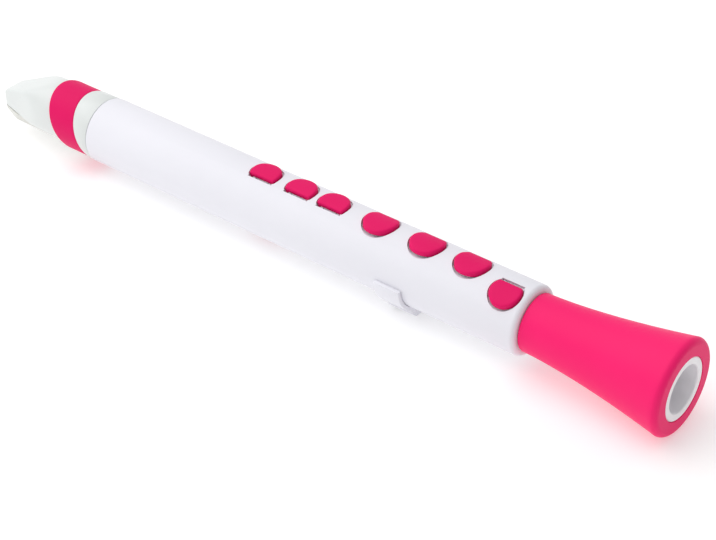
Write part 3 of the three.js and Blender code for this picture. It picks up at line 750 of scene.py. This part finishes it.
ring_set_in = RING_SET_BACK + GROOVE_WIDTH / 2
mouthpiece_ring = BODY_START + MOUTHPIECE_TENON - ring_set_in
bell_ring = BODY_END + ring_set_in
slide = "mouthpiece_slide"
piece("mouthpiece_o_ring", o_ring(mouthpiece_ring), SEAL, "seal_silicone", slide, "mouthpiece_seal")
piece("bell_o_ring", o_ring(bell_ring), SEAL, "seal_silicone", "body", "bell_seal")


# Bell: a pink flared shell round a white liner
def bell_shell():
    """The flared outside, with a rounded lip."""
    flare_length = BELL_END - BELL_START - BELL_LIP
    start = BELL_START_RADIUS
    profile = [
        (BELL_START, BELL_INNER_START),
        (BELL_START, start - EDGE_ROUND),
        (BELL_START + EDGE_MIDDLE, start - EDGE_MIDDLE),
        (BELL_START + EDGE_ROUND, start),
    ]
    for k in range(1, FLARE_STEPS + 1):
        share = k / FLARE_STEPS
        radius = start + (RIM_RADIUS - start) * share ** FLARE_POWER
        profile.append((BELL_START + flare_length * share, radius))
    for turn in quarter(BELL_LIP_STEPS)[1:]:
        drop = BELL_LIP * (1 - math.cos(turn))
        profile.append((BELL_END - BELL_LIP + BELL_LIP * math.sin(turn), RIM_RADIUS - drop))
    profile.append((BELL_END, BELL_INNER_MOUTH))
    return turned(profile)


def bell_liner():
    """The white inside: a socket for the body's tenon, and a bore that widens to the mouth."""
    socket_floor = BELL_START + BODY_TENON
    mouth = BELL_END - MOUTH_RECESS
    soft = LINER_ROUND
    profile = [
        (BELL_START, SOCKET_RADIUS + EDGE_ROUND),
        (BELL_START, LINER_START_RADIUS),
        (mouth - soft, LINER_MOUTH_RADIUS),
        (mouth, LINER_MOUTH_RADIUS - soft),
        (mouth, MOUTH_RADIUS + soft),
    ]
    middle_radius = BORE_RADIUS + (MOUTH_RADIUS - BORE_RADIUS) * THROAT_SHARE
    for k in range(FLARE_STEPS + 1):
        t = k / FLARE_STEPS
        x = (mouth - soft) * (1 - t) + socket_floor * t
        profile.append((x, curve(MOUTH_RADIUS, middle_radius, BORE_RADIUS, t)))
    profile += [(socket_floor, SOCKET_RADIUS), (BELL_START + EDGE_ROUND, SOCKET_RADIUS)]
    return turned(profile)


piece("bell_outer", bell_shell(), PINK, "pink_plastic", "bell", "bell_shell")
liner = piece("bell_inner", bell_liner(), LINER, "white_plastic", "bell", "bell_liner")
# The liner's faces that look toward the axis are greyer: painted shade of the bore, whose inside is the same
# white plastic in shadow
liner.data.materials.append(BORE_SHADE)
for face in liner.data.polygons:
    out = Vector((0, face.center.y, face.center.z - AXIS_HEIGHT * MM))
    if face.normal.dot(out) < 0:
        face.material_index = 1


# Mouthpiece: places along it are measured from the tip
def beak_top(along):
    """The height of the beak's upper line: a blunt nose, and then a straight rise."""
    share = np.sqrt(np.clip(along / NOSE_LENGTH, 0, 1))
    nose = curve(TIP_TOP, NOSE_HEIGHT - RISE_SLOPE * NOSE_LENGTH, NOSE_HEIGHT, share)
    return np.where(along < NOSE_LENGTH, nose, NOSE_HEIGHT + RISE_SLOPE * (along - NOSE_LENGTH))


def beak_half_width(along):
    """Half the beak's width from above: a rounded tip, and then flanks that curve out."""
    tip = curve(TIP_FLAT_HALF, TIP_CORNER, TIP_HALF_WIDTH, np.sqrt(np.clip(along / TIP_ROUND, 0, 1)))
    flank = curve(TIP_HALF_WIDTH, WAIST, BEAK_RADIUS, np.maximum(along - TIP_ROUND, 0) / FLANK_LENGTH)
    return np.where(along < TIP_ROUND, tip, flank)


def table(along):
    """The height of the flat table under the beak, which the reed lies on."""
    return TIP_BOTTOM + TABLE_SLOPE * along


def beak_point(along, angle):
    """Where the beak's softened section meets a line from its middle, at angle from the top."""
    top = beak_top(along)
    out_of_reach = -3 * BEAK_RADIUS
    bottom = np.where(along < REED_LENGTH, table(along), out_of_reach)
    middle = (np.minimum(top, BEAK_RADIUS) + np.maximum(bottom, -BEAK_RADIUS)) / 2
    up = np.cos(angle)
    out = np.abs(np.sin(angle))
    limits = [
        -middle * up + np.sqrt(BEAK_RADIUS ** 2 - (middle * out) ** 2),
        (top - middle) / np.maximum(up, TINY),
        (middle - bottom) / np.maximum(-up, TINY),
        beak_half_width(along) / np.maximum(out, TINY),
    ]
    reach = sum(limit ** -float(BEAK_SOFTNESS) for limit in limits) ** (-1 / BEAK_SOFTNESS)
    return np.stack([TIP + along + 0 * angle, reach * np.sin(angle), middle + reach * up], -1)


def slant_plane(place, slant, radius, angle):
    """Where a plane that leans toward the tip at the top crosses a circle round the axis."""
    return place - slant * radius * np.cos(angle)


def mouthpiece_mesh():
    """Beak, slanted collar and tenon in one skin, with the chamber inside and the reed's window cut."""
    angle = around(ROUND_FACETS)
    ligature_back = BODY_START - LIGATURE_BACK
    collar = slant_plane(ligature_back + RUN_GAP, BACK_SLANT, COLLAR_RADIUS, angle)
    plain = BEAK_PLAIN_LENGTH
    along = [NOSE_LENGTH * t * t for t in np.linspace(0, 1, NOSE_ROWS)]
    along += list(np.linspace(NOSE_LENGTH, plain, BEAK_ROWS)[1:])
    rows = [beak_point(np.full_like(angle, s), angle) for s in along]
    reach = collar - TIP - plain
    heel = (REED_LENGTH - plain) / reach.max()
    for share in (*LEAN_SHARES, heel - HEEL_SPLIT, heel + HEEL_SPLIT, LAST_SHARE):
        rows.append(beak_point(plain + reach * share, angle))
    rows.append(ring(collar, BEAK_RADIUS, angle))
    for back, drop in COLLAR_EDGE:
        rows.append(ring(collar + back, COLLAR_RADIUS - drop, angle))
    end = BODY_START - RUN_GAP
    tenon_end = BODY_START + MOUTHPIECE_TENON
    groove_end = tenon_end - RING_SET_BACK
    bore_start = TIP + WINDOW_SET_BACK + WINDOW_LENGTH - CHAMBER_LEAD
    for x, radius in (
        (end - EDGE_ROUND, COLLAR_RADIUS),
        (end - EDGE_MIDDLE, COLLAR_RADIUS - EDGE_MIDDLE),
        (end, COLLAR_RADIUS - EDGE_ROUND),
        (end, TENON_RADIUS),
        (groove_end - GROOVE_WIDTH, TENON_RADIUS),
        (groove_end - GROOVE_WIDTH, GROOVE_RADIUS),
        (groove_end, GROOVE_RADIUS),
        (groove_end, TENON_RADIUS),
        (tenon_end - EDGE_ROUND, TENON_RADIUS),
        (tenon_end, TENON_RADIUS - EDGE_ROUND),
        (tenon_end, CHAMBER_RADIUS),
        (bore_start, CHAMBER_RADIUS),
    ):
        rows.append(ring(x, radius, angle))
    window = WINDOW_SET_BACK
    window_end = window + WINDOW_LENGTH
    side = [
        (TIP + window, table(window) - PAST),
        (TIP + window_end, table(window_end) - PAST),
        (TIP + window_end, 0),
        (TIP + window_end - WINDOW_RAMP, 0),
        (TIP + window, table(window)),
    ]
    slot = cutter(side, -WINDOW_HALF_WIDTH, WINDOW_HALF_WIDTH, "y")
    return combined(mesh_of(skin(rows)), "DIFFERENCE", [slot])


def reed_shape():
    """A blade flat against the table, thin at the tip and round behind."""
    across = np.linspace(-1, 1, REED_COLUMNS)
    rows = []
    for along in np.linspace(BOND_GAP, REED_LENGTH - RUN_GAP, REED_ROWS):
        half = min(REED_HALF_WIDTH, float(beak_half_width(np.array(along))))
        y = across * half
        top = table(along) - BOND_GAP
        vamp = top - REED_TIP_THICKNESS - VAMP_SLOPE * along
        bottom = np.maximum(vamp, -np.sqrt((BEAK_RADIUS - BOND_GAP) ** 2 - y ** 2))
        bottom = np.minimum(bottom, top - REED_EDGE_THICKNESS)
        upper = np.stack([np.full_like(y, TIP + along), y, np.full_like(y, top)], -1)
        lower = np.stack([np.full_like(y, TIP + along), y, bottom], -1)
        rows.append(np.concatenate([upper, lower[::-1]]))
    return skin(rows)


def ligature_shape():
    """A band round the beak between two slanted planes."""
    angle = around(ROUND_FACETS)
    inner = BEAK_RADIUS + SLIDE_GAP
    outer = inner + LIGATURE_WALL
    front = slant_plane(BODY_START - LIGATURE_FRONT, FRONT_SLANT, outer, angle)
    back = slant_plane(BODY_START - LIGATURE_BACK, BACK_SLANT, outer, angle)
    soft = LIGATURE_ROUND
    edge = LIGATURE_INNER_EDGE
    turns = quarter(CORNER_STEPS)
    section = [(front + edge, inner), (front, inner + edge)]
    section += [(front + soft * (1 - math.cos(t)), outer - soft * (1 - math.sin(t))) for t in turns]
    section += [(front * (1 - s) + back * s, outer) for s in np.linspace(0, 1, BAND_ROWS)[1:-1]]
    section += [(back - soft * (1 - math.sin(t)), outer - soft * (1 - math.cos(t))) for t in turns]
    section += [(back, inner + edge), (back - edge, inner)]
    return skin([ring(x, radius, angle) for x, radius in section], loop=True)


piece("mouthpiece_shell", mouthpiece_mesh(), MOUTH, "mouth_plastic", "mouthpiece", "mouthpiece")
piece("reed_blade", reed_shape(), REED, "reed_plastic", "mouthpiece", "reed")
piece("ligature_band", ligature_shape(), PINK_SOFT, "pink_silicone", "ligature", "ligature")


# Thumb rest and its screws
def rest_mesh():
    """A saddle round the back of the tube, with a pad for two screws and a hook for the thumb."""
    inner = TUBE_RADIUS + BOND_GAP
    outer = inner + REST_WALL
    ends = -outer * math.cos(math.radians(REST_WRAP))
    inner_wrap = math.degrees(math.acos(-ends / inner))
    outline = []
    for radius, wrap in ((outer, REST_WRAP), (inner, -inner_wrap)):
        for angle in np.radians(np.linspace(-wrap, wrap, WRAP_POINTS)):
            outline.append((radius * math.sin(angle), -radius * math.cos(angle)))
    saddle = prism(outline, REST_START, REST_END, SADDLE_ROUND, "x")
    bottom = -TUBE_RADIUS - REST_PAD_DEPTH
    top = -TUBE_RADIUS / 2
    hook_start = REST_END - REST_HOOK_LENGTH
    under = rounded([
        (REST_START, top, 0),
        (REST_START, bottom, REST_CORNER),
        (REST_END, bottom, REST_CORNER),
        (REST_END, top, 0),
    ])
    side = rounded([
        (REST_START, top, 0),
        (REST_START, bottom + PAST, 0),
        (hook_start - 2 * HOOK_FILLET, bottom + PAST, 0),
        (hook_start - 2 * HOOK_FILLET, bottom, 0),
        (hook_start, bottom, HOOK_FILLET),
        (hook_start, -AXIS_HEIGHT, REST_CORNER),
        (REST_END, -AXIS_HEIGHT, REST_CORNER),
        (REST_END, top, 0),
    ])
    pad = prism(under, -REST_HALF_WIDTH, REST_HALF_WIDTH, REST_ROUND, "y")
    hook = prism(side, -HOOK_HALF_WIDTH, HOOK_HALF_WIDTH, REST_ROUND, "y")
    mesh = combined(mesh_of(saddle), "UNION", [pad, hook])
    hollow = turned([(REST_START - PAST, inner), (REST_END + PAST, inner)], TUBE_FACETS, loop=False)
    seat = bottom + SCREW_HEAD_HEIGHT + BOND_GAP
    wide = SCREW_HEAD_RADIUS + SLIDE_GAP
    profile = [(bottom - PAST, wide), (seat, wide)]
    holes = [upright(profile, SCREW_X, y) for y in (-SCREW_SPREAD, SCREW_SPREAD)]
    return combined(mesh, "DIFFERENCE", [hollow, *holes])


def screw_mesh(y):
    """A small screw with a slotted head, pointing up into the tube's wall."""
    bottom = -TUBE_RADIUS - REST_PAD_DEPTH
    top = bottom + SCREW_HEAD_HEIGHT
    screw = upright([
        (bottom, SCREW_HEAD_RADIUS - SCREW_HEAD_ROUND),
        (bottom + SCREW_HEAD_ROUND, SCREW_HEAD_RADIUS),
        (top, SCREW_HEAD_RADIUS),
        (top, SCREW_RADIUS),
        (top + SCREW_LENGTH, SCREW_RADIUS),
    ], SCREW_X, y)
    reach = SCREW_HEAD_RADIUS + PAST
    side = (y - DRIVE_HALF_WIDTH, y + DRIVE_HALF_WIDTH)
    drive = block(SCREW_X - reach, SCREW_X + reach, *side, bottom - PAST, bottom + DRIVE_DEPTH)
    return combined(mesh_of(screw), "DIFFERENCE", [drive])


piece("rest", rest_mesh(), WHITE, "white_plastic", "body", "thumb_rest")
for side, y in (("left", SCREW_SPREAD), ("right", -SCREW_SPREAD)):
    piece(f"rest_screw_{side}", screw_mesh(y), STEEL, "steel", "body", f"thumb_rest_screw_{side}")

# Floor, light and camera
floor_mesh = bpy.data.meshes.new("floor")
corners = [(x * FLOOR_HALF, y * FLOOR_HALF, 0) for x, y in ((-1, -1), (1, -1), (1, 1), (-1, 1))]
floor_mesh.from_pydata(corners, [], [(0, 1, 2, 3)])
floor = bpy.data.objects.new("floor", floor_mesh)
scene.collection.objects.link(floor)
floor_mesh.materials.append(moulded(
    "floor_paint", (0.75, 0.75, 0.75), (0.74, 0.74, 0.74), 0.8,
    mottle=3, relief=0.0, Emission_Strength=FLOOR_GLOW,
))
floor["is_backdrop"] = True

# Plain surroundings, brighter on the mouthpiece's side
scene.view_settings.view_transform = "Standard"
world = bpy.data.worlds.new("studio")
scene.world = world
world.use_nodes = True
nodes = world.node_tree.nodes
links = world.node_tree.links
toward = nodes.new("ShaderNodeTexCoord")
parts = nodes.new("ShaderNodeSeparateXYZ")
walls = nodes.new("ShaderNodeMapRange")
walls.inputs["From Min"].default_value = -1
walls.inputs["To Min"].default_value = LIGHT_SIDE
walls.inputs["To Max"].default_value = DARK_SIDE
links.new(toward.outputs["Generated"], parts.inputs["Vector"])
links.new(parts.outputs["X"], walls.inputs["Value"])
links.new(walls.outputs["Result"], nodes["Background"].inputs["Strength"])
nodes["Background"].inputs["Color"].default_value = (1, 1, 1, 1)

# One large soft light, aimed at the frame's origin
light = bpy.data.lights.new("key_light", "AREA")
light.size = KEY_LIGHT_SIZE
light.energy = KEY_LIGHT_POWER
lamp = bpy.data.objects.new("key_light", light)
scene.collection.objects.link(lamp)
lamp.location = KEY_LIGHT_PLACE
lamp.rotation_euler = (-KEY_LIGHT_PLACE).to_track_quat("-Z", "Y").to_euler()

camera = bpy.data.objects.new("camera", bpy.data.cameras.new("camera"))
scene.collection.objects.link(camera)
camera.data.sensor_width = SENSOR_WIDTH
camera.data.lens = SENSOR_WIDTH * FOCAL_PIXELS / PHOTO_WIDTH
camera.location = (Vector((BELL_END, 0, AXIS_HEIGHT)) + CAMERA_FROM_MOUTH) * MM
back = Vector((
    math.sin(CAMERA_AZIMUTH) * math.cos(CAMERA_ELEVATION),
    -math.cos(CAMERA_AZIMUTH) * math.cos(CAMERA_ELEVATION),
    math.sin(CAMERA_ELEVATION),
))
camera.rotation_euler = (-back).to_track_quat("-Z", "Y").to_euler()
camera.data.clip_start = NEAREST * MM
camera.data.clip_end = FURTHEST * MM
scene.camera = camera

low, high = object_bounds()
